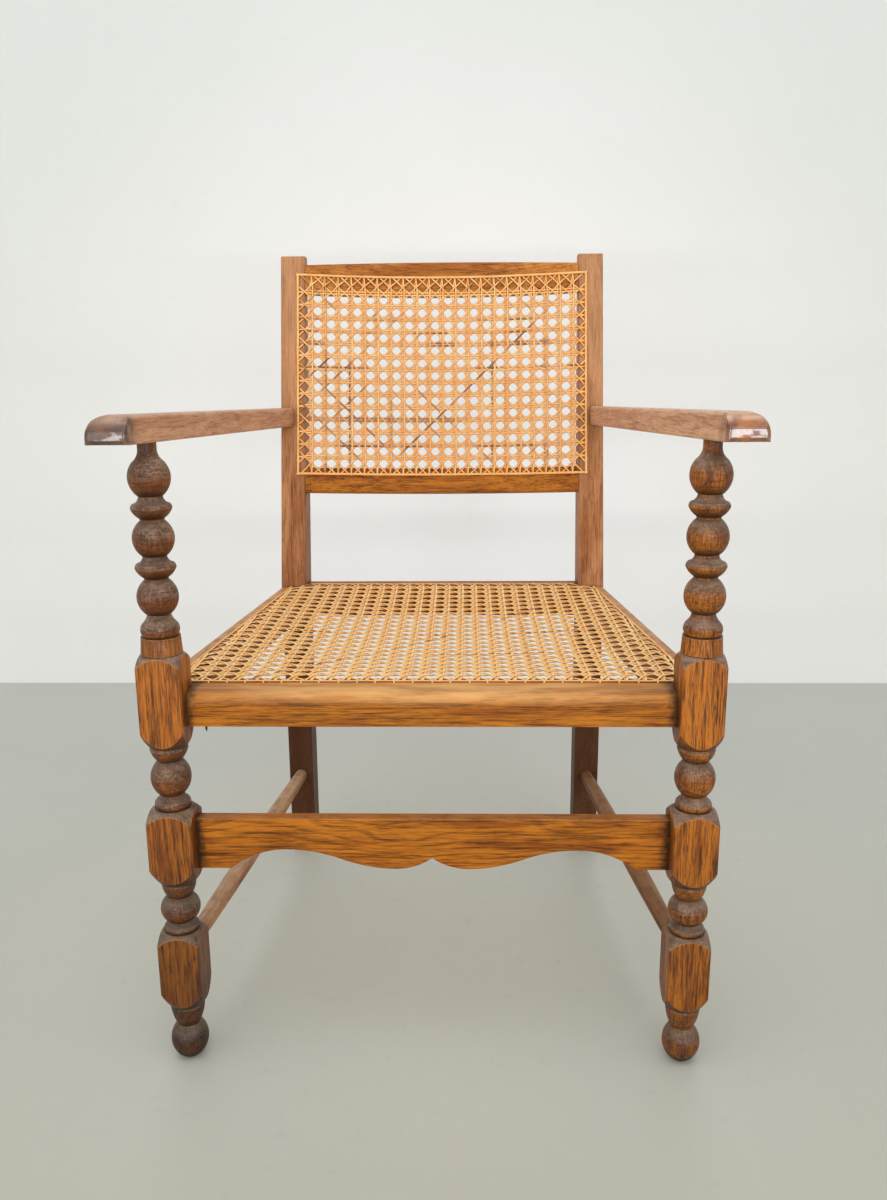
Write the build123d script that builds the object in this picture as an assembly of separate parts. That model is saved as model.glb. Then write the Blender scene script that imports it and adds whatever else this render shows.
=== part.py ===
# Oak open armchair with spool-turned front posts and a hand-caned seat and back.
# Millimetres, +Z up, the sitter faces -Y. Left and right are as seen from the front: right pieces lie
# at +X and the left ones mirror them.
# While modelling, Y is 0 at the axes of the front posts. The finished chair is then moved so that
# its origin lies under the middle of its bounding box, on the floor.

from build123d import *
import os
from math import cos, radians, sin, tan

# Main lay-out
post_spacing = 520.0          # between the axes of the front posts
seat_height = 405.0           # top of the seat rails
seat_depth = 466.0            # post axes to the front faces of the rear stiles
stile_spacing = 424.0         # between the middles of the rear stiles
back_rake = 13.2              # degrees that the stiles lean back above the seat
back_length = 473.0           # seat level to stile top, along the rake

# Front posts, turned from square stock
block_width = 42.6
mid_block_width = 45.0        # block that takes the front stretcher
block_edge_round = 2.0
seat_block_above = 40.0       # block over the seat rails
seat_block_below = 22.0       # block under the seat rails
mid_block_above = 12.2        # block over the front stretcher
mid_block_below = 13.6        # block under the front stretcher
low_block_bottom = 64.0
low_block_height = 84.5
shoulder_rise = 27.0          # height of the rounded shoulder under a block
shoulder_fall = 17.0          # height of the rounded shoulder over a block
shoulder_radius = 18.5        # where a shoulder meets the turning
shoulder_bulge = 1.2
neck_radius = 11.3
low_neck_radius = 11.8
ball_radius = 19.7
ball_height = 34.0
ring_radius = 19.3
ring_height = 22.6
bell_radius = 18.6
bell_height = 21.5
low_bell_radius = 17.8
low_bell_height = 14.1
squat_bell_height = 10.5
groove_radius = 16.0
collar_radius = 20.0
collar_top_radius = 18.8
collar_height = 17.0
pear_height = 45.0
pear_waist_radius = 14.6
pear_waist_height = 32.0
pear_belly = 0.62             # share of the waist height under the belly
post_top_radius = 8.8
post_top_height = 5.0
low_ball_radius = 20.0
low_ball_height = 35.7
squat_ball_height = 28.0
cup_radius = 18.8
low_cup_radius = 17.6
cup_height = 15.5
low_cup_height = 18.0
cup_lip = 3.0
foot_radius = 19.5
foot_height = 38.5
foot_flat_radius = 9.0
foot_neck_radius = 11.7

# Rear stiles
stile_width = 35.0
stile_depth_seat = 54.0
stile_depth_foot = 42.0
stile_depth_top = 20.0
stile_edge_round = 2.0
stile_top_round = 1.6

# Seat rails
rail_height = 33.0
rail_face_setback = 12.5      # block front to the front rail's face
front_rail_depth = 51.0
front_rail_round = 12.0
side_rail_width = 36.0
side_rail_round = 10.0
side_rail_inset_front = 5.5   # inside the post block's outer face
side_rail_inset_rear = 2.0    # inside the stile's outer face
rear_rail_height = 42.0
rear_rail_depth = 38.0
rear_rail_setback = 2.0       # behind the stile fronts

# Back rails, bowed to the rear between the stiles
back_bow = 18.0
back_rail_thick = 17.0
crest_bottom = 421.0          # heights along the rake, from the seat level
crest_height = 40.0
crest_arch = 8.0
back_rail_round = 3.0
lower_rail_bottom = 136.0
lower_rail_height = 36.0

# Arms
arm_height = 646.8            # underside over the post axis
arm_drop = 1.95               # degrees that the arm falls towards the back
arm_thick = 26.0
arm_overhang = 70.0           # in front of the post axis
arm_front_width = 38.2
arm_inner_front = 5.5         # post axis to the inner edge of the arm, at its front end
arm_cane_gap = 1.0            # between the cane on the stile and the arm's rear end
arm_outer_round = 20.5
arm_inner_round = 6.0
arm_end_round = 4.0
arm_nose_round = 15.0         # upper edge of the front end

# Stretchers
stretcher_top = 272.3
stretcher_depth = 54.7
stretcher_thick = 15.0
stretcher_setback = 3.0       # middle of the stretcher behind the post axes
stretcher_edge_round = 1.5
stretcher_end = 33.0          # straight stretch of the lower edge beside each post
stretcher_arch = 21.0         # rise of the arches over the lower edge
stretcher_arch_place = 147.0
stretcher_belly_place = 36.0
stretcher_cusp = 12.0         # rise of the middle point
side_stretcher_front = 125.0  # heights at the post and at the leg
side_stretcher_rear = 118.0
side_stretcher_inset = 7.0    # inside the post axis
side_stretcher_radius = 11.0
side_stretcher_tenon_radius = 8.5

# Joints
tenon_thick = 10.0
tenon_shoulder = 5.0          # above and below a tenon
front_tenon = 14.0
side_tenon = 15.0
rear_tenon = 18.0
stretcher_tenon = 18.0
back_tenon = 16.0
back_tenon_thick = 8.0
rod_tenon = 18.0
post_tenon_radius = 7.0
post_tenon = 15.0
dowel_radius = 5.0
dowel_length = 40.0
peg_radius = 2.4
peg_length = 20.0
back_peg_length = 14.0
joint_gap = 0.15              # round a tenon, dowel or peg
end_gap = 1.0                 # past the end of a tenon or dowel

# Cane
front_hole_line = 39.0        # behind the front rail's face
rear_hole_line = 16.0         # behind the stile fronts
side_hole_line = 12.0         # inside the side rails' outer faces
crest_hole_line = 25.0        # over the crest rail's lower edge
lower_hole_line = 9.5         # under the lower rail's upper edge
stile_hole_line = 10.5        # outside the stiles' inner faces
cane_thick = 2.0
cane_margin = 2.5             # cane outside the hole line
cane_rest_gap = 0.3           # to the bowed rails
binder_width = 5.0
binder_thick = 1.2
seat_gap_pitch = 25.0
seat_gap_size = 16.0
back_gap_pitch = 18.6
back_gap_size = 11.0

# Worked out from the sizes above
post_x = post_spacing / 2
half_block = block_width / 2
block_inner = post_x - half_block
mid_block_inner = post_x - mid_block_width / 2
block_outer = post_x + half_block
stile_x = stile_spacing / 2
stile_inner = stile_x - stile_width / 2
stile_outer = stile_x + stile_width / 2
rail_bottom = seat_height - rail_height
front_rail_face = -half_block + rail_face_setback
stretcher_bottom = stretcher_top - stretcher_depth
front_hole_y = front_rail_face + front_hole_line
rear_hole_y = seat_depth + rear_hole_line
lower_rail_top = lower_rail_bottom + lower_rail_height
crest_top = crest_bottom + crest_height
crest_hole = crest_bottom + crest_hole_line
lower_hole = lower_rail_top - lower_hole_line
stile_hole = stile_inner + stile_hole_line
reach = post_spacing + seat_depth + seat_height  # longer than any cut has to be

# Frame of the back: x across, y up the rake, z out of the stile fronts towards the sitter
rake = radians(back_rake)
back_frame = Plane((0, seat_depth, seat_height), x_dir=(1, 0, 0), z_dir=(0, -cos(rake), sin(rake)))

# Frame of the arms: x across, y towards the back, z out of the underside
drop = radians(arm_drop)
arm_frame = Plane((0, 0, arm_height), x_dir=(1, 0, 0), z_dir=(0, sin(drop), cos(drop)))


def block_between(x, y, z):
    """Box between pairs of limits."""
    middle = Pos(sum(x) / 2, sum(y) / 2, sum(z) / 2)
    return middle * Box(abs(x[1] - x[0]), abs(y[1] - y[0]), abs(z[1] - z[0]))


def flat(points):
    """Face inside a closed outline."""
    return make_face(Polyline(*points, close=True))


def both_sides(right):
    """A right-hand piece and its mirror image."""
    return [right, mirror(right, about=Plane.YZ)]


def side_rail_outer(y):
    """Outer edge of the side rail at one depth of the seat."""
    front = block_outer - side_rail_inset_front
    rear = stile_outer - side_rail_inset_rear
    return front + (rear - front) * (y - half_block) / (seat_depth - half_block)


class Turning:
    """Half outline of a turned post, drawn upwards from the floor."""

    def __init__(self, radius):
        self.point = (radius, 0.0)
        self.edges = [Line((0, 0), self.point)]

    def line(self, radius, height):
        end = (radius, height)
        if end != self.point:
            self.edges.append(Line(self.point, end))
        self.point = end

    def bow(self, radius, height, middle):
        end = (radius, height)
        self.edges.append(ThreePointArc(self.point, middle, end))
        self.point = end

    def bead(self, radius, height, belly, place=0.5):
        """Ball or ring: out to the belly radius and in again to the next neck."""
        low = self.point[1]
        self.bow(radius, height, (belly, low + place * (height - low)))

    def ring(self, radius, height, rim):
        """Thin ring: full under its rim and hollowed over it."""
        low = self.point[1]
        rise, step = height - low, rim - radius
        self.bow(radius + 0.22 * step, low + 0.13 * rise, (radius + 0.06 * step, low + 0.08 * rise))
        self.bow(rim, low + 0.5 * rise, (radius + 0.68 * step, low + 0.29 * rise))
        self.bow(radius + 0.8 * step, low + 0.68 * rise, (rim - 0.04 * step, low + 0.59 * rise))
        self.bow(radius, height, (radius + 0.26 * step, low + 0.79 * rise))

    def bell(self, radius, height, belly):
        """Bell: full near its foot and hollowed up to the next neck."""
        low = self.point[1]
        rise, step = height - low, belly - radius
        self.bow(radius + 0.66 * step, low + 0.6 * rise, (belly, low + 0.34 * rise))
        self.bow(radius, height, (radius + 0.2 * step, low + 0.8 * rise))

    def cup(self, radius, height):
        """Cup that opens upwards from a neck to a lip."""
        lip = height - cup_lip
        low_radius, low = self.point
        self.bow(radius, lip, ((low_radius + radius) / 2 + shoulder_bulge, low + (lip - low) / 2))
        self.line(radius - shoulder_bulge, height)

    def block(self, height, width=block_width):
        """Square block with a rounded shoulder at both ends."""
        corner = width * 0.5 ** 0.5 + block_edge_round
        low = self.point[1]
        middle = (shoulder_radius + corner) / 2 + shoulder_bulge
        self.line(shoulder_radius, low)
        self.bow(corner, low + shoulder_rise, (middle, low + shoulder_rise / 2 - shoulder_bulge))
        self.line(corner, height - shoulder_fall)
        self.bow(shoulder_radius, height, (middle, height - shoulder_fall / 2 + shoulder_bulge))

    def face(self):
        top = (0, self.point[1])
        return make_face(self.edges + [Line(self.point, top), Line(top, (0, 0))])


def steps(low, high, heights):
    """Upper limits of stacked turnings, stretched to fill the space between two blocks."""
    scale = (high - low) / sum(heights)
    return [low + scale * sum(heights[:i + 1]) for i in range(len(heights))]


def post_body():
    low_top = low_block_bottom + low_block_height
    mid_bottom = stretcher_bottom - mid_block_below
    mid_top = stretcher_top + mid_block_above
    seat_bottom = rail_bottom - seat_block_below
    seat_top = seat_height + seat_block_above
    outline = Turning(foot_flat_radius)

    ball, lip = steps(0, low_block_bottom, [foot_height, low_block_bottom - foot_height])
    outline.bead(foot_neck_radius, ball, foot_radius)
    outline.cup(low_bell_radius, lip)
    outline.block(low_top)

    bell, ball, lip = steps(low_top, mid_bottom, [squat_bell_height, squat_ball_height, low_cup_height])
    outline.line(groove_radius, low_top)
    outline.bell(low_neck_radius, bell, low_bell_radius)
    outline.bead(low_neck_radius, ball, low_ball_radius)
    outline.cup(low_cup_radius, lip)
    outline.block(mid_top, mid_block_width)

    bell, ball, lip = steps(mid_top, seat_bottom, [low_bell_height, low_ball_height, cup_height])
    outline.line(groove_radius, mid_top)
    outline.bell(low_neck_radius, bell, low_bell_radius)
    outline.bead(low_neck_radius, ball, low_ball_radius)
    outline.cup(cup_radius, lip)
    outline.block(seat_top)

    upper = [collar_height, bell_height, ball_height, ring_height, ball_height, ring_height]
    upper += [pear_height, post_top_height]
    collar, bell, low_ball, low_ring, high_ball, high_ring, pear, top = steps(seat_top, arm_height, upper)
    outline.line(collar_radius, seat_top)
    outline.line(collar_top_radius, collar)
    outline.line(groove_radius, collar)
    outline.bell(neck_radius, bell, bell_radius)
    outline.bead(neck_radius, low_ball, ball_radius)
    outline.ring(neck_radius, low_ring, ring_radius)
    outline.bead(neck_radius, high_ball, ball_radius)
    outline.ring(neck_radius, high_ring, ring_radius)
    waist = high_ring + (pear - high_ring) * pear_waist_height / pear_height
    outline.bead(pear_waist_radius, waist, ball_radius, pear_belly)
    hollow = (post_top_radius + (pear_waist_radius - post_top_radius) / 4, waist + (pear - waist) * 0.4)
    outline.bow(post_top_radius, pear, hollow)
    outline.line(post_top_radius, top + arm_thick)

    turned = revolve(Plane.XZ * outline.face(), axis=Axis.Z)
    square = RectangleRounded(block_width, block_width, block_edge_round)
    stock = extrude(square, amount=arm_height + 2 * arm_thick)
    square = RectangleRounded(mid_block_width, mid_block_width, block_edge_round)
    stock += Pos(0, 0, mid_bottom) * extrude(square, amount=mid_top - mid_bottom)
    return Pos(post_x, 0, 0) * (turned & stock)


def stile_body():
    lean = back_length * sin(rake)
    top = seat_height + back_length * cos(rake)
    side = flat([
        (seat_depth, 0),
        (seat_depth, seat_height),
        (seat_depth + lean, top),
        (seat_depth + lean + stile_depth_top, top),
        (seat_depth + stile_depth_seat, seat_height),
        (seat_depth + stile_depth_foot, 0),
    ])
    stile = extrude(Plane.YZ * side, amount=stile_width / 2, both=True)
    edges = stile.edges().filter_by(Plane.YZ).filter_by(Axis.Y, reverse=True)
    stile = fillet(edges, stile_edge_round)
    stile = fillet(stile.faces().sort_by(Axis.Z)[-1].edges(), stile_top_round)
    return Pos(stile_x, 0, 0) * stile


def rail_tenon(x, y, bottom, top):
    """Tenon of a seat rail or stretcher, shouldered above and below."""
    return block_between(x, y, (bottom + tenon_shoulder, top - tenon_shoulder))


def mortise(tenon, direction):
    """Room for a tenon: the joint gap all round it and the end gap past its end."""
    size = tenon.bounding_box().size
    grown = Box(size.X + 2 * joint_gap, size.Y + 2 * joint_gap, size.Z + 2 * joint_gap)
    room = Pos(tenon.bounding_box().center()) * grown
    return room + Pos(Vector(*direction) * end_gap) * room


def bowed_strip(half_length, bottom, top, front, back):
    """Strip in the frame of the back that bows to the rear, with front and back at its ends."""
    middle_front = (0, front - back_bow)
    middle_back = (0, back - back_bow)
    edges = [
        ThreePointArc((-half_length, front), middle_front, (half_length, front)),
        Line((half_length, front), (half_length, back)),
        ThreePointArc((half_length, back), middle_back, (-half_length, back)),
        Line((-half_length, back), (-half_length, front)),
    ]
    return Pos(0, top, 0) * extrude(Plane.XZ * make_face(edges), amount=top - bottom)


def front_rail_body():
    y = (front_rail_face, front_rail_face + front_rail_depth)
    rail = block_between((-block_inner, block_inner), y, (rail_bottom, seat_height))
    edge = rail.edges().filter_by(Axis.X).group_by(Axis.Z)[-1].sort_by(Axis.Y)[0]
    return fillet(edge, front_rail_round)


def side_rail_body():
    front, rear = side_rail_outer(half_block), side_rail_outer(seat_depth)
    plan = flat([
        (front, half_block),
        (rear, seat_depth),
        (rear - side_rail_width, seat_depth),
        (front - side_rail_width, half_block),
    ])
    rail = Pos(0, 0, rail_bottom) * extrude(plan, amount=rail_height)
    outer = rail.faces().sort_by(Axis.Z)[-1].edges().sort_by(Axis.X)[-1]
    return fillet(outer, side_rail_round)


def arm_section(inner, width):
    """Section of an arm: flat underside, small round inside and a large round outside."""
    outer = inner + width
    outer_round = min(arm_outer_round, width * 0.6)
    corner = arm_thick - arm_inner_round
    shoulder = arm_thick - outer_round
    bend = 0.5 ** 0.5
    return make_face([
        Line((inner, 0), (inner, corner)),
        ThreePointArc(
            (inner, corner),
            (inner + arm_inner_round * (1 - bend), corner + arm_inner_round * bend),
            (inner + arm_inner_round, arm_thick),
        ),
        Line((inner + arm_inner_round, arm_thick), (outer - outer_round, arm_thick)),
        ThreePointArc(
            (outer - outer_round, arm_thick),
            (outer - outer_round * (1 - bend), shoulder + outer_round * bend),
            (outer, shoulder),
        ),
        Line((outer, shoulder), (outer, 0)),
        Line((outer, 0), (inner, 0)),
    ])


def arm_body():
    """Arm, tapered towards the back and cut off at the front face of the stile."""
    rear_inner = stile_hole + cane_margin + arm_cane_gap
    run = seat_depth + (arm_height - seat_height) * tan(rake) + arm_thick
    front = Plane.XZ.offset(arm_overhang) * arm_section(post_x - arm_inner_front, arm_front_width)
    rear = Plane.XZ.offset(-run) * arm_section(rear_inner, stile_outer - rear_inner)
    arm = loft([front, rear], ruled=True)
    end = arm.faces().sort_by(Axis.Y)[0]
    arm = fillet(end.edges(), arm_end_round)
    side = Pos((run - arm_overhang) / 2, 0) * Rectangle(run + arm_overhang, 2 * arm_thick)
    nose = side.vertices().group_by(Axis.X)[0].sort_by(Axis.Y)[-1]
    side = Plane.YZ * fillet(nose, arm_nose_round)
    arm = arm_frame * (arm & extrude(side, amount=reach))
    behind = block_between((0, reach), (-reach, reach), (-reach, 0))
    return arm - back_frame * behind


def stretcher_outline():
    """Front stretcher seen from the front: two arches and a small point in the middle."""
    end = mid_block_inner - stretcher_end
    arch = stretcher_bottom + stretcher_arch
    inflection = ((stretcher_arch_place + stretcher_belly_place) / 2, stretcher_bottom + stretcher_arch / 2)
    cusp = (0, stretcher_bottom + stretcher_cusp)
    belly = (stretcher_belly_place, stretcher_bottom)
    crown = (stretcher_arch_place, arch)
    right = [
        TangentArc(belly, cusp, tangent=(-1, 0)),
        TangentArc(belly, inflection, tangent=(1, 0)),
        TangentArc(crown, inflection, tangent=(-1, 0)),
        TangentArc(crown, (end, stretcher_bottom), tangent=(1, 0)),
        Line((end, stretcher_bottom), (mid_block_inner, stretcher_bottom)),
        Line((mid_block_inner, stretcher_bottom), (mid_block_inner, stretcher_top)),
        Line((mid_block_inner, stretcher_top), (0, stretcher_top)),
    ]
    left = [mirror(edge, about=Plane.YZ) for edge in right]
    return make_face(right + left)


def stretcher_body():
    """Front stretcher with its long edges a little rounded."""
    board = extrude(Plane.XZ * stretcher_outline(), amount=stretcher_thick / 2, both=True)
    board = Pos(0, stretcher_setback, 0) * board
    sides = board.faces().sort_by(Axis.Y)
    edges = sides[0].edges() + sides[-1].edges()
    long_edges = [edge for edge in edges if abs(edge.center().X) < mid_block_inner - end_gap]
    return fillet(long_edges, stretcher_edge_round)


def crest_body():
    """Crest rail in the frame of the back, with an arched upper edge."""
    crest = bowed_strip(stile_inner, crest_bottom, crest_top + crest_arch, 0, -back_rail_thick)
    edges = [
        ThreePointArc((-stile_inner, crest_top), (0, crest_top + crest_arch), (stile_inner, crest_top)),
        Line((stile_inner, crest_top), (stile_inner, crest_bottom)),
        Line((stile_inner, crest_bottom), (-stile_inner, crest_bottom)),
        Line((-stile_inner, crest_bottom), (-stile_inner, crest_top)),
    ]
    return rounded_back_rail(crest & through_back(make_face(edges)))


def rounded_back_rail(rail):
    """A bowed rail with its long edges, which all cross the middle, rounded."""
    long_edges = [edge for edge in rail.edges() if abs(edge.center().X) < end_gap]
    return fillet(long_edges, back_rail_round)


def side_stretcher(radius_gap=0.0, end=0.0):
    """Tapered rod from the low block of a post to the rear leg, with a tenon at each end."""
    start = Vector(post_x - side_stretcher_inset, half_block, side_stretcher_front)
    stop = Vector(stile_x, seat_depth, side_stretcher_rear)
    run = stop - start
    length = run.length
    tenon = side_stretcher_tenon_radius + radius_gap
    rod = Plane(start, z_dir=run)
    if radius_gap:
        return rod * Pos(0, 0, length / 2) * Cylinder(tenon, length + 2 * (rod_tenon + end))
    half = make_face([
        Line((0, -rod_tenon), (tenon, -rod_tenon)),
        Line((tenon, -rod_tenon), (tenon, 0)),
        ThreePointArc((tenon, 0), (side_stretcher_radius, length / 2), (tenon, length)),
        Line((tenon, length), (tenon, length + rod_tenon)),
        Line((tenon, length + rod_tenon), (0, length + rod_tenon)),
        Line((0, length + rod_tenon), (0, -rod_tenon)),
    ])
    return rod * revolve(Plane.XZ * half, axis=Axis.Z)


def gap_centres(half_width, low, high, pitch):
    """Centres of the gaps between two limits, in columns that run straight through all rows."""
    rows = int((high - low) // pitch)
    first = (low + high - (rows - 1) * pitch) / 2
    centres = []
    for y in [first + row * pitch for row in range(rows)]:
        count = int(half_width(y) / pitch - 0.5)
        centres += [(column * pitch, y) for column in range(-count, count + 1)]
    return centres


def net(outline, centres, size):
    """Cane net as one face with square gaps."""
    return outline - [Pos(x, y) * Rectangle(size, size) for x, y in centres]


def seat_outline(margin):
    """Outline of the seat cane round its hole lines, stepped in between the rear stiles."""
    front = front_hole_y - margin
    step = seat_depth - cane_margin
    rear = rear_hole_y + margin
    front_x = side_rail_outer(front_hole_y) - side_hole_line + margin
    step_x = side_rail_outer(step) - side_hole_line + margin
    inner_x = stile_inner - cane_margin - binder_width + margin
    step -= binder_width - margin
    right = [(front_x, front), (step_x, step), (inner_x, step), (inner_x, rear)]
    return flat(right + [(-x, y) for x, y in reversed(right)])


def seat_cane():
    def window(y):
        return side_rail_outer(y) - side_rail_width

    low = front_rail_face + front_rail_depth
    high = seat_depth + rear_rail_setback
    centres = gap_centres(window, low, high, seat_gap_pitch)
    panel = net(seat_outline(cane_margin), centres, seat_gap_size)
    return Pos(0, 0, seat_height) * extrude(panel, amount=cane_thick)


def seat_binder():
    ring = seat_outline(binder_width / 2) - seat_outline(-binder_width / 2)
    return Pos(0, 0, seat_height + cane_thick) * extrude(ring, amount=binder_thick)


def back_rectangle(half_width, bottom, top):
    return Pos(0, (bottom + top) / 2) * Rectangle(2 * half_width, top - bottom)


def back_layer(low, high):
    """Layer over the whole back, flat on the stiles and bowed between them."""
    wide = stile_hole + cane_margin
    edges = []
    for height in (low, high):
        edges.append(ThreePointArc((-stile_inner, height), (0, height - back_bow), (stile_inner, height)))
        edges.append(Line((stile_inner, height), (wide, height)))
        edges.append(Line((-wide, height), (-stile_inner, height)))
    for side in (-wide, wide):
        edges.append(Line((side, low), (side, high)))
    top = crest_hole + cane_margin
    bottom = lower_hole - cane_margin
    return Pos(0, top, 0) * extrude(Plane.XZ * make_face(edges), amount=top - bottom)


def through_back(face):
    """Prism of a face right through the bowed back."""
    return Pos(0, 0, -2 * back_bow) * extrude(face, amount=3 * back_bow)


def back_cane():
    centres = gap_centres(lambda y: stile_inner, lower_rail_top, crest_bottom, back_gap_pitch)
    panel = back_rectangle(stile_hole + cane_margin, lower_hole - cane_margin, crest_hole + cane_margin)
    low = cane_rest_gap
    return back_frame * (back_layer(low, low + cane_thick) & through_back(net(panel, centres, back_gap_size)))


def back_binder():
    grow = binder_width / 2
    outer = back_rectangle(stile_hole + grow, lower_hole - grow, crest_hole + grow)
    inner = back_rectangle(stile_hole - grow, lower_hole + grow, crest_hole - grow)
    low = 2 * cane_rest_gap + cane_thick
    return back_frame * (back_layer(low, low + binder_thick) & through_back(outer - inner))


def peg_and_bore(place, length):
    """Peg that goes in under a surface, and the bore that takes it."""
    depth = length + end_gap
    peg = place * Pos(0, 0, -length / 2) * Cylinder(peg_radius, length)
    bore = place * Pos(0, 0, -depth / 2) * Cylinder(peg_radius + joint_gap, depth)
    return peg, bore


def build():
    """All pieces by name, those with a mirror image as a pair."""
    seat_zone = (rail_bottom, seat_height)
    rear_zone = (seat_height - rear_rail_height, seat_height)

    # Tenons on the right-hand side
    block_face = (block_inner, block_inner + front_tenon)
    front_y = front_rail_face + tenon_shoulder
    front_rail_tenon = rail_tenon(block_face, (front_y, front_y + tenon_thick), *seat_zone)
    side_x = block_inner + front_tenon + 2 * end_gap
    side_y = (half_block - side_tenon, half_block)
    side_front_tenon = rail_tenon((side_x, side_x + tenon_thick), side_y, *seat_zone)
    half_tenon = tenon_thick / 2
    side_rear_x = (stile_x - half_tenon, stile_x + half_tenon)
    side_rear_tenon = rail_tenon(side_rear_x, (seat_depth, seat_depth + side_tenon), *seat_zone)
    rear_y = seat_depth + side_tenon + 3 * end_gap
    rear_x = (stile_inner, stile_inner + rear_tenon)
    rear_rail_tenon = rail_tenon(rear_x, (rear_y, rear_y + tenon_thick), *rear_zone)
    stretcher_x = (mid_block_inner, mid_block_inner + stretcher_tenon)
    stretcher_y = (stretcher_setback - half_tenon, stretcher_setback + half_tenon)
    stretcher_rail_tenon = rail_tenon(stretcher_x, stretcher_y, stretcher_bottom, stretcher_top)
    back_x = (stile_inner, stile_inner + back_tenon)
    back_z = (-(back_rail_thick + back_tenon_thick) / 2, -(back_rail_thick - back_tenon_thick) / 2)
    under_peg = peg_radius + 2 * end_gap
    crest_tenon = block_between(back_x, (crest_bottom + tenon_shoulder, crest_hole - under_peg), back_z)
    lower_tenon = block_between(back_x, (lower_rail_bottom + tenon_shoulder, lower_hole - under_peg), back_z)

    # Pegs in the corner holes of the cane, which lock the ends of its binder
    front_place = Pos(side_rail_outer(front_hole_y) - side_hole_line, front_hole_y, seat_height)
    rear_place = Pos(stile_inner - cane_margin - binder_width, rear_hole_y, seat_height)
    front_peg, front_peg_bore = peg_and_bore(front_place, peg_length)
    rear_peg, rear_peg_bore = peg_and_bore(rear_place, peg_length)
    lower_peg, lower_peg_bore = peg_and_bore(back_frame * Pos(stile_hole, lower_hole, 0), back_peg_length)
    crest_peg, crest_peg_bore = peg_and_bore(back_frame * Pos(stile_hole, crest_hole, 0), back_peg_length)

    # Arm, and the dowel that holds it to the stile
    arm = arm_body()
    dowel_place = Plane(arm.faces().sort_by(Axis.Y)[-1].center(), z_dir=back_frame.z_dir)
    dowel = dowel_place * Cylinder(dowel_radius, dowel_length)
    dowel_bore = dowel_place * Cylinder(dowel_radius + joint_gap, dowel_length + 2 * end_gap)
    tenon_foot = arm_height - post_tenon_radius
    tenon_rise = post_tenon_radius + post_tenon
    arm_tenon = Pos(post_x, 0, tenon_foot + tenon_rise / 2) * Cylinder(post_tenon_radius, tenon_rise)
    bore_rise = tenon_rise + end_gap
    arm_bore = Pos(post_x, 0, tenon_foot + bore_rise / 2) * Cylinder(post_tenon_radius + joint_gap, bore_rise)

    # Post and stile with their mortises
    rod = side_stretcher()
    rod_bore = side_stretcher(joint_gap, end_gap)
    post = (post_body() - arm).solids().sort_by(Axis.Z)[0] + arm_tenon
    post -= mortise(front_rail_tenon, (1, 0, 0))
    post -= mortise(side_front_tenon, (0, -1, 0))
    post -= mortise(stretcher_rail_tenon, (1, 0, 0))
    post -= rod_bore
    stile = stile_body()
    stile -= mortise(side_rear_tenon, (0, 1, 0))
    stile -= mortise(rear_rail_tenon, (1, 0, 0))
    stile -= back_frame * mortise(crest_tenon, (1, 0, 0))
    stile -= back_frame * mortise(lower_tenon, (1, 0, 0))
    for bore in (rod_bore, dowel_bore, lower_peg_bore, crest_peg_bore):
        stile -= bore
    arm -= arm_bore
    arm -= dowel_bore

    # Rails and stretcher with their tenons
    side_rail = side_rail_body()
    front_rail = front_rail_body()
    rear_y = (seat_depth + rear_rail_setback, seat_depth + rear_rail_setback + rear_rail_depth)
    rear_rail = block_between((-stile_inner, stile_inner), rear_y, rear_zone)
    stretcher = stretcher_body()
    crest = crest_body()
    lower = rounded_back_rail(bowed_strip(stile_inner, lower_rail_bottom, lower_rail_top, 0, -back_rail_thick))
    front_rail = front_rail - both_sides(side_rail) + both_sides(front_rail_tenon)
    rear_rail = rear_rail - both_sides(rear_peg_bore) + both_sides(rear_rail_tenon)
    stretcher += both_sides(stretcher_rail_tenon)
    crest += both_sides(crest_tenon)
    lower += both_sides(lower_tenon)
    side_rail = side_rail - front_peg_bore + side_front_tenon + side_rear_tenon

    pairs = {
        "front_post": post,
        "rear_stile": stile,
        "side_seat_rail": side_rail,
        "arm": arm,
        "side_stretcher": rod,
    }
    pieces = {
        "front_seat_rail": front_rail,
        "rear_seat_rail": rear_rail,
        "crest_rail": back_frame * crest,
        "back_lower_rail": back_frame * lower,
        "front_stretcher": stretcher,
        "arm_dowels": Compound(both_sides(dowel)),
        "seat_cane": seat_cane(),
        "seat_cane_binder": seat_binder(),
        "seat_cane_pegs": Compound(both_sides(front_peg) + both_sides(rear_peg)),
        "back_cane": back_cane(),
        "back_cane_binder": back_binder(),
        "back_cane_pegs": Compound(both_sides(lower_peg) + both_sides(crest_peg)),
    }
    for name, right in pairs.items():
        pieces[name + "_right"], pieces[name + "_left"] = both_sides(right)
    return pieces


pieces = build()
boxes = [shape.bounding_box() for shape in pieces.values()]
front = min(box.min.Y for box in boxes)
rear = max(box.max.Y for box in boxes)
to_origin = Pos(0, -(front + rear) / 2, 0)
os.makedirs("parts", exist_ok=True)
for name, shape in pieces.items():
    export_step(to_origin * shape, f"parts/{name}.step")
    print(name, len(shape.solids()), round(shape.volume))
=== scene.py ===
import bpy
import math
import random
from mathutils import Matrix, Vector


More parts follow.
